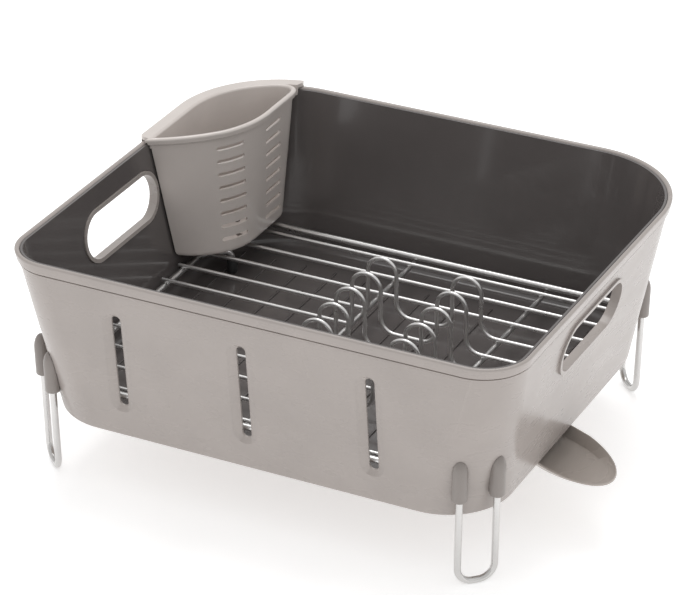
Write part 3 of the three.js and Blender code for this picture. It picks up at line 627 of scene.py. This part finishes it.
def build_tray():
    fillet = 6
    profile = rolled((TRAY_OUTER + 2.7, TRAY_UNDER_Z + 2.7), (2.7, 2.7), -90, 0, 4)
    profile += [(TRAY_OUTER, TRAY_TOP_Z), (TRAY_INNER, TRAY_TOP_Z)]
    bottom = rolled((TRAY_INNER + fillet, TRAY_FLOOR_Z + fillet), (fillet, fillet), -90, 0, 8)
    profile += list(reversed(bottom))
    tray = loft("tray_liner", [tub_outline(z, inward) for inward, z in profile])
    for x in SLOT_X:
        tray = cut(tray, slot_prism(x, SURROUND_WIDTH + 2 + 2 * GAP, SURROUND_EXTRA + 1 + GAP, 40))
    for side in (-1, 1):
        tray = cut(tray, hand_prism(side, HAND_LIP + GAP, 60))
    tray = cut(tray, disc(*PIVOT, UNDERSIDE_Z, COLLAR_RADIUS + GAP, 40))
    settle(tray, 0.4)
    even_normals(tray)
    own(tray, "tub", "tray", "drip_tray")
    for i in range(-RIBS_EACH_SIDE, RIBS_EACH_SIDE + 1):
        build_rib(i)


def build_rib(i):
    """One low rib on the tray floor, stopped short either side of the drain."""
    x = i * RIB_PITCH
    ends = [(-RIB_LENGTH / 2, RIB_LENGTH / 2)]
    near = COLLAR_RADIUS + 8
    if abs(x - PIVOT[0]) < near:
        gap = math.sqrt(near * near - (x - PIVOT[0]) ** 2)
        ends = [(-RIB_LENGTH / 2, PIVOT[1] - gap), (PIVOT[1] + gap, RIB_LENGTH / 2)]
    for part, (start, stop) in enumerate(ends):
        rings = stadium(stop - start, RIB_WIDTH, RIB_HEIGHT + 0.6, 8)
        place = (x, (start + stop) / 2, TRAY_FLOOR_Z + (RIB_HEIGHT - 0.6) / 2)
        name = f"tray_rib_{i + RIBS_EACH_SIDE + 1:02d}_{part + 1}"
        own(settle(loft(name, turned(rings, (("Z", 90),), place)), 0.5), "tub", "tray")


# ---------------------------------------------------------------- wire rack


def wire_end(side, y):
    return wall_at(side, y, WIRE_Z, TRAY_INNER + WIRE_END_CLEAR)


def wire_y(i):
    return WIRE_BACK_Y - i * WIRE_PITCH


def finned_path(y):
    """A thin wire bent up into a left and a right fin."""
    corners = [(wire_end(-1, y), y, WIRE_Z)]
    radii = []
    for fin, x in enumerate(FIN_X):
        left = x - FIN_WIDTH / 2
        right = x + FIN_WIDTH / 2
        corners += [(left, y, WIRE_Z), (left, y, FIN_TOP_Z), (right, y, FIN_TOP_Z), (right, y, WIRE_Z)]
        radii += [FIN_FLARE if fin else FIN_TIGHT, FIN_WIDTH / 2 - 0.05, FIN_WIDTH / 2 - 0.05, FIN_FLARE]
    corners.append((wire_end(1, y), y, WIRE_Z))
    return bent_path(corners, radii)


def rack_wire(name, path, diameter):
    return own(settle(tube(name, path, diameter)), "wire_rack", "wire", name)


def build_rack():
    for i in range(WIRE_COUNT):
        y = wire_y(i)
        plain = i < PLAIN_WIRES_BEHIND or i == WIRE_COUNT - 1
        straight = [(wire_end(-1, y), y, WIRE_Z), (wire_end(1, y), y, WIRE_Z)]
        name = f"{'plain' if plain else 'finned'}_wire_{i + 1:02d}"
        rack_wire(name, straight if plain else finned_path(y), WIRE)
    edge_z = WIRE_Z + (FRAME_WIRE - WIRE) / 2
    for side, y in zip(("front", "back"), EDGE_WIRE_Y):
        path = [(wire_end(-1, y), y, edge_z), (wire_end(1, y), y, edge_z)]
        rack_wire(f"edge_wire_{side}", path, FRAME_WIRE)
    for side, x in zip(("left", "right"), CROSS_WIRE_X):
        path = [(x, EDGE_WIRE_Y[0], FRAME_Z), (x, EDGE_WIRE_Y[1], FRAME_Z)]
        rack_wire(f"cross_wire_{side}", path, CROSS_WIRE)
    build_end_wires()
    build_welds()


def leg_x(x):
    """Where the legs stand under the end wire at x."""
    return x - math.copysign(LEG_INSET, x)


def build_end_wires():
    """The end wires run under the rack's ends and bend down into capped legs."""
    leg_z = TRAY_FLOOR_Z + 2
    front, back = LEG_Y
    for side, x in zip(("left", "right"), END_WIRE_X):
        corners = [
            (leg_x(x), front, leg_z),
            (leg_x(x), front, FRAME_Z),
            (x, front + LEG_TURN, FRAME_Z),
            (x, back - LEG_TURN, FRAME_Z),
            (leg_x(x), back, FRAME_Z),
            (leg_x(x), back, leg_z),
        ]
        rack_wire(f"end_wire_{side}", bent_path(corners, [6, 12, 12, 6]), FRAME_WIRE)
        for where, y in zip(("front", "back"), LEG_Y):
            build_leg_cap(f"leg_cap_{where}_{side}", leg_x(x), y, leg_z)


def build_leg_cap(name, x, y, leg_z):
    bore = FRAME_WIRE / 2 + GAP
    outer = bore + 1.5
    low = TRAY_FLOOR_Z + GAP
    high = TRAY_FLOOR_Z + CAP_HEIGHT
    seat = leg_z - GAP
    profile = [(0, low), (outer - 0.9, low), (outer - 0.25, low + 0.25), (outer, low + 0.9)]
    profile += [(outer, high - 0.8), (outer - 0.25, high - 0.2), (outer - 0.8, high)]
    profile += [(bore, high), (bore, seat), (0, seat)]
    own(settle(lathe(name, profile, (x, y, 0))), "wire_rack", "rubber", name)


def weld_bead(x, y, z, long, wide, tall):
    """A small flattened bead of metal where two wires cross."""
    profile = []
    for i in range(9):
        angle = math.radians(-90 + 180 * i / 8)
        profile.append((0 if i in (0, 8) else math.cos(angle), math.sin(angle)))
    bead = lathe("bead", profile, (0, 0, 0), sides=16)
    for vertex in bead.data.vertices:
        local = (vertex.co - to_row((0, 0, 0))) / MM
        vertex.co = to_row((x + local.x * long, y + local.y * wide, z + local.z * tall))
    return bead


def build_welds():
    beads = []
    weld_z = WIRE_Z - WIRE / 2 - GAP / 2
    for x in CROSS_WIRE_X:
        for i in range(WIRE_COUNT):
            beads.append(weld_bead(x, wire_y(i), weld_z, 1.5, 1.1, 0.7))
    for x in END_WIRE_X:
        for i in range(WIRE_COUNT):
            if LEG_Y[0] + 20 < wire_y(i) < LEG_Y[1] - 20:
                beads.append(weld_bead(x, wire_y(i), weld_z, 1.6, 1.1, 0.7))
    own(settle(joined("rack_welds", beads)), "wire_rack", "wire")


# ---------------------------------------------------------------- feet


def foot_place(name, side, z):
    """The middle of a foot's leg at height z. The legs lean outwards going up."""
    x, y = FEET[name]
    outward = Vector((math.copysign(1, x), math.copysign(1, y), 0)).normalized()
    across = Vector((-outward.y, outward.x, 0))
    lean = math.tan(math.radians(FOOT_LEAN))
    return Vector((x, y, z)) + across * side * FOOT_SPAN / 2 + outward * lean * z


def build_foot(name):
    low = FOOT_WIRE / 2
    corners = [
        foot_place(name, -1, FOOT_TOP_Z),
        foot_place(name, -1, low),
        foot_place(name, 1, low),
        foot_place(name, 1, FOOT_TOP_Z),
    ]
    foot = tube(f"foot_{name}", bent_path(corners, [FOOT_BEND, FOOT_BEND], 16), FOOT_WIRE, 24)
    own(settle(foot), "tub", "foot_wire", f"foot_{name}")
    for side, label in ((-1, "a"), (1, "b")):
        build_socket(name, side, label)


def build_socket(name, side, label):
    """A bullet-shaped boss on the wall, with a lip round the leg."""
    base = foot_place(name, side, SOCKET_Z)
    top = foot_place(name, side, SOCKET_TOP_Z)
    length = SOCKET_TOP_Z - SOCKET_Z
    bore = FOOT_WIRE / 2 + GAP
    seat = FOOT_TOP_Z - SOCKET_Z + 1
    profile = [(0, seat), (bore, seat), (bore, 0.5), (bore + 0.4, 0), (SOCKET_RADIUS - 0.9, 0)]
    profile += [(SOCKET_RADIUS - 0.3, 0.25), (SOCKET_RADIUS, 0.9), (SOCKET_RADIUS, length - SOCKET_DOME)]
    for i in range(1, 9):
        angle = math.radians(90 * i / 8)
        radius = 0 if i == 8 else SOCKET_RADIUS * math.cos(angle)
        profile.append((radius, length - SOCKET_DOME + SOCKET_DOME * math.sin(angle)))
    node = f"foot_socket_{name}_{label}"
    socket = lathe(node, profile, base, (top - base).normalized(), 36)
    socket = cut(socket, tub_inside(BEAD_PROUD - GAP))
    own(settle(socket), "tub", "socket", node)


# ---------------------------------------------------------------- utensil holder


def arc_through(a, b, c, steps):
    """Points on the circle through a, b and c, from a to c."""
    d = 2 * (a.x * (b.y - c.y) + b.x * (c.y - a.y) + c.x * (a.y - b.y))
    aa, bb, cc = a.dot(a), b.dot(b), c.dot(c)
    centre = Vector((
        (aa * (b.y - c.y) + bb * (c.y - a.y) + cc * (a.y - b.y)) / d,
        (aa * (c.x - b.x) + bb * (a.x - c.x) + cc * (b.x - a.x)) / d,
    ))
    radius = (a - centre).length
    start = math.atan2(a.y - centre.y, a.x - centre.x)
    stop = math.atan2(c.y - centre.y, c.x - centre.x)
    points = []
    for i in range(steps + 1):
        angle = start + (stop - start) * i / steps
        points.append(centre + radius * Vector((math.cos(angle), math.sin(angle))))
    return points


def curve(a, b, c, steps):
    """Points from a to c that are drawn towards b."""
    points = []
    for i in range(steps + 1):
        u = i / steps
        points.append(a * (1 - u) ** 2 + b * 2 * u * (1 - u) + c * u * u)
    return points


def holder_outline(z):
    """Plan outline of the holder's outer face at height z."""
    t = (z - HOLDER_BOTTOM_Z) / (HOLDER_TOP_Z - HOLDER_BOTTOM_Z)
    level = min(z, RIM_Z)
    draft = (RIM_Z - level) / (RIM_Z - UNDERSIDE_Z)
    clear = mix(HOLDER_CLEAR, t)
    left = wall("left", level, clear)
    back = wall("back", level, clear)
    radius = mix(RADIUS_BACK, draft) - clear
    right = mix(HOLDER_RIGHT_X, t)
    start = Vector((left, mix(HOLDER_FRONT_Y, t)))
    middle = Vector(HOLDER_FRONT_MIDDLE[0]).lerp(Vector(HOLDER_FRONT_MIDDLE[1]), t)
    end = Vector(HOLDER_FRONT_END[0]).lerp(Vector(HOLDER_FRONT_END[1]), t)
    soft = mix(HOLDER_SOFT, t)
    arc = [p for p in arc_through(start, middle, end, 240) if (p - end).length > soft]
    ring = [arc[round(i * (len(arc) - 1) / 20)] for i in range(21)]
    ring += curve(ring[-1], end, Vector((right, end.y + soft)), 12)[1:]
    centre = Vector((left + radius, back - radius))
    corner_x = right - HOLDER_CORNER

    def back_at(x):
        return centre.y + math.sqrt(radius * radius - (centre.x - x) ** 2)

    last = Vector((corner_x, back_at(corner_x)))
    first = Vector((right, back_at(right) - HOLDER_CORNER))
    ring += curve(first, Vector((right, back_at(right))), last, 10)
    turn = math.atan2(last.y - centre.y, last.x - centre.x)
    for i in range(1, 21):
        angle = turn + (math.pi - turn) * i / 20
        ring.append(centre + radius * Vector((math.cos(angle), math.sin(angle))))
    return [Vector((p.x, p.y, z)) for p in ring]


def shrink(ring, distance):
    """Moves each point of a ring in by distance."""
    moved = []
    for i, p in enumerate(ring):
        a = (p - ring[i - 1]).normalized()
        b = (ring[(i + 1) % len(ring)] - p).normalized()
        along = (a + b).normalized()
        reach = distance / max(0.5, abs(along.dot(a)))
        moved.append(Vector((p.x - along.y * reach, p.y + along.x * reach, p.z)))
    return moved


def vent(y, z):
    """One slit, across the holder's wall where it passes y."""
    ring = holder_outline(z)
    i = next(i for i, p in enumerate(ring) if p.y > y)
    along = ring[i] - ring[i - 1]
    place = ring[i - 1] + along * ((y - ring[i - 1].y) / along.y)
    turn = math.degrees(math.atan2(along.y, along.x))
    return loft("vent", turned(stadium(VENT_LENGTH, VENT_HEIGHT, 10, 8), (("X", 90), ("Z", turn)), place))


def build_holder():
    roll = 2.3
    lip_foot = HOLDER_TOP_Z - 5.5
    floor = HOLDER_BOTTOM_Z + HOLDER_WALL
    profile = [(2.6, HOLDER_BOTTOM_Z), (1.3, HOLDER_BOTTOM_Z + 0.5), (0.4, HOLDER_BOTTOM_Z + 1.7)]
    profile += [(0, HOLDER_BOTTOM_Z + 4), (0, (HOLDER_BOTTOM_Z + lip_foot) / 2), (0, lip_foot)]
    middle = (HOLDER_WALL - roll) / 2
    reach = (HOLDER_WALL + roll) / 2
    profile += [(-roll * 0.5, lip_foot + 0.2), (-roll * 0.9, lip_foot + 0.8)]
    profile += rolled((middle, HOLDER_TOP_Z - 2), (reach, 2), 0, 180, 12)
    profile += [(HOLDER_WALL, floor + 3), (HOLDER_WALL + 0.3, floor + 1.2), (HOLDER_WALL + 1.6, floor)]
    holder = loft("cutlery_holder", [shrink(holder_outline(z), inward) for inward, z in profile])
    for i in range(6):
        holder = cut(holder, disc(-160 + 13 * (i % 2), 72 + 20 * (i // 2), floor, 2.5, 12, 20))
    holder = cut(holder, rim_space())
    holder = cut(holder, build_hook(), "UNION")
    for y in VENT_Y:
        for row in range(VENT_ROWS):
            holder = cut(holder, vent(y, VENT_TOP_Z - row * VENT_PITCH))
    settle(holder, 0.3)
    even_normals(holder)
    own(holder, "utensil_holder", "holder", "utensil_holder")


def rim_space():
    """The tub's rim with a clearance all round, which the hook straddles."""
    rings = [tub_outline(z, -HOOK_CLEAR) for z in (RIM_Z - 12, RIM_Z + HOOK_CLEAR)]
    return cut(loft("rim", rings), tub_inside(TRAY_INNER + HOOK_CLEAR))


def build_hook():
    low = RIM_Z - HOOK_DROP
    out = HOOK_CLEAR + HOOK_THICK
    inner = HOLDER_CLEAR[1] + 1
    profile = [(-out + 1, low), (-out + 0.3, low + 0.2), (-out, low + 0.9)]
    profile += rolled((-out + 2.6, HOLDER_TOP_Z - 2.6), (2.6, 2.6), 0, 90, 8)
    strip = loft("hook", [tub_outline(z, inward) for inward, z in profile])
    strip = cut(strip, tub_inside(inner))
    strip = cut(strip, rim_space())
    outer = Vector((wall("left", RIM_Z, -out), RIM_Y + out))
    front, right = HOLDER_FRONT_Y[1], HOLDER_RIGHT_X[1]
    back_end = (
        Vector((right, outer.y - HOOK_ROUND)),
        Vector((right, outer.y)),
        Vector((right - HOOK_ROUND, outer.y)),
    )
    front_end = (
        Vector((outer.x, front + HOOK_ROUND)),
        Vector((outer.x, front)),
        Vector((outer.x + HOOK_ROUND, front)),
    )
    plan = [Vector((wall("left", RIM_Z, inner), front))]
    plan += curve(*back_end, 10)
    plan += [Vector((right - HOOK_ROUND, outer.y + 30)), Vector((outer.x - 30, outer.y + 30))]
    plan += [Vector((outer.x - 30, front + HOOK_ROUND))]
    plan += curve(*front_end, 10)
    region = loft("region", [[Vector((p.x, p.y, RIM_Z + z)) for p in plan] for z in (-30, 30)])
    return cut(strip, region, "INTERSECT")


# ---------------------------------------------------------------- drain and spout


def ring_part(node, name, slot, profile):
    piece = lathe(name, profile, (*PIVOT, 0), sides=64)
    own(settle(piece, 0.25), "tub", slot, node)


def build_drain():
    flange = COLLAR_FLANGE_Z
    ring_part("drain_collar", "drain_collar", "spout", [
        (DRAIN_BORE, SPOUT_RIM_Z - 6.5),
        (COLLAR_RADIUS + 1.3, SPOUT_RIM_Z - 6.5),
        (COLLAR_RADIUS + 1.3, SPOUT_RIM_Z - 5),
        (COLLAR_RADIUS, SPOUT_RIM_Z - 4.4),
        (COLLAR_RADIUS, flange),
        (COLLAR_RADIUS + 6, flange),
        (COLLAR_RADIUS + 5.2, flange + 1.4),
        (DRAIN_BORE + 1.4, flange + 1.8),
        (DRAIN_BORE + 1.4, flange),
        (DRAIN_BORE, flange),
    ])
    ring_part("drain_seal", "drain_seal", "rubber", [
        (COLLAR_RADIUS + GAP, TRAY_FLOOR_Z + GAP),
        (COLLAR_RADIUS + 5.4, TRAY_FLOOR_Z + GAP),
        (COLLAR_RADIUS + 5.4, TRAY_FLOOR_Z + GAP + SEAL_THICK),
        (COLLAR_RADIUS + GAP, TRAY_FLOOR_Z + GAP + SEAL_THICK),
    ])
    ring_part("spout_snap_ring", "spout_snap_ring", "strainer", [
        (COLLAR_RADIUS + GAP, SPOUT_RIM_Z - 4.1),
        (COLLAR_RADIUS + 3.6, SPOUT_RIM_Z - 4.1),
        (COLLAR_RADIUS + 3.6, SPOUT_RIM_Z - 2.3),
        (COLLAR_RADIUS + GAP, SPOUT_RIM_Z - 2.3),
    ])
    z = COLLAR_FLANGE_Z + GAP + 0.7
    grate = disc(*PIVOT, z, DRAIN_BORE + 1.1, 1.4, 64)
    for i in range(7):
        angle = i * math.pi / 3
        reach = 6.2 if i < 6 else 0
        hole = disc(PIVOT[0] + reach * math.cos(angle), PIVOT[1] + reach * math.sin(angle), z, 2.3, 6, 28)
        grate = cut(grate, hole)
    grate.name = "drain_strainer"
    own(settle(grate, 0.2), "tub", "strainer", "drain_grate")


def spout_outline(inward, sunk):
    """The spout's outline from above, turned to its rest pose. sunk is 0 at the rim."""
    hub = SPOUT_HUB - inward
    half = SPOUT_HALF_WIDTH - inward
    nose = SPOUT_REACH - SPOUT_WIDEST - inward
    points = []
    for i in range(49):
        angle = -math.pi / 2 + math.pi * i / 48
        points.append((SPOUT_WIDEST + nose * math.cos(angle), half * math.sin(angle)))
    for i in range(33):
        angle = math.pi / 2 + math.pi * i / 32
        points.append((hub * math.cos(angle), hub * math.sin(angle)))
    ring = []
    turn = Matrix.Rotation(math.radians(SPOUT_TURN), 2)
    for x, y in points:
        t = max(0, x / SPOUT_REACH) ** 1.5
        drop = mix(SPOUT_DEPTH, t) - (1 - sunk) * SPOUT_WALL if sunk else 0
        place = turn @ Vector((x, y)) + Vector(PIVOT)
        ring.append(Vector((place.x, place.y, SPOUT_RIM_Z - drop)))
    return ring


def lowered(ring, drop):
    return [p - Vector((0, 0, drop)) for p in ring]


def build_spout():
    rings = [
        spout_outline(SPOUT_SLOPE, 1),
        lowered(spout_outline(0.4, 0), 1.8),
        lowered(spout_outline(0, 0), 1.1),
        lowered(spout_outline(0.1, 0), 0.4),
        spout_outline(0.5, 0),
        spout_outline(SPOUT_WALL - 0.5, 0),
        lowered(spout_outline(SPOUT_WALL, 0), 0.5),
        spout_outline(SPOUT_WALL + SPOUT_SLOPE, 0.001),
    ]
    spout = loft("spout_trough", rings)
    spout = cut(spout, disc(*PIVOT, SPOUT_RIM_Z - 1, SPOUT_HUB - 1, 1.8), "UNION")
    spout = cut(spout, disc(*PIVOT, SPOUT_RIM_Z, COLLAR_RADIUS + GAP, 8))
    settle(spout, 0.35)
    even_normals(spout)
    own(spout, "spout", "spout", "spout")


# ---------------------------------------------------------------- room, light and camera


def build_floor():
    half = 9.0
    corners = [(-half, -half, 0), (half, -half, 0), (half, half, 0), (-half, half, 0)]
    mesh = bpy.data.meshes.new("floor")
    mesh.from_pydata(corners, [], [(0, 1, 2, 3)])
    floor = bpy.data.objects.new("floor", mesh)
    bpy.context.scene.collection.objects.link(floor)
    m = Nodes("pale_floor")
    m.link(m.ramp(m.noise(3, 3), (0.9, 0.9, 0.9), (0.93, 0.93, 0.93)), m.shader.inputs["Base Color"])
    m.set("Emission Color", (1, 1, 1, 1))
    m.set("Emission Strength", 0.42)
    m.set("Roughness", 0.8)
    m.set("Specular IOR Level", 0.1)
    mesh.materials.append(m.material)


def area_light(name, place, target, size, power):
    data = bpy.data.lights.new(name, "AREA")
    data.shape = "DISK"
    data.size = size
    data.energy = power
    light = bpy.data.objects.new(name, data)
    light.location = place
    light.rotation_euler = (Vector(target) - Vector(place)).to_track_quat("-Z", "Y").to_euler()
    bpy.context.scene.collection.objects.link(light)


def build_light():
    world = bpy.data.worlds.new("studio")
    world.use_nodes = True
    background = world.node_tree.nodes["Background"]
    background.inputs["Color"].default_value = (1, 1, 1, 1)
    background.inputs["Strength"].default_value = 0.75
    bpy.context.scene.world = world
    area_light("overhead", (-0.3, 0.7, 2.4), (0, 0, 0.1), 1.6, 22)
    area_light("right_fill", (2.4, -0.6, 1.2), (0, 0, 0.1), 1.4, 1.5)
    bpy.context.scene.view_settings.view_transform = "Standard"


AZIMUTH = math.radians(26.5)
ELEVATION = math.radians(28.2)
DISTANCE = 2.43
AIM = Vector((-0.02973, 0.01108, 0.1014))
LENS = 175.1


def build_camera():
    data = bpy.data.cameras.new("camera")
    data.lens = LENS
    data.sensor_width = 36
    data.clip_end = 50
    camera = bpy.data.objects.new("camera", data)
    back = Vector((
        math.sin(AZIMUTH) * math.cos(ELEVATION),
        -math.cos(AZIMUTH) * math.cos(ELEVATION),
        math.sin(ELEVATION),
    ))
    camera.location = AIM + back * DISTANCE
    camera.rotation_euler = (-back).to_track_quat("-Z", "Y").to_euler()
    bpy.context.scene.collection.objects.link(camera)
    bpy.context.scene.camera = camera


build_camera()
build_floor()
build_light()
build_shell()
build_tray()
build_rack()
for foot in FEET:
    build_foot(foot)
build_holder()
build_drain()
build_spout()
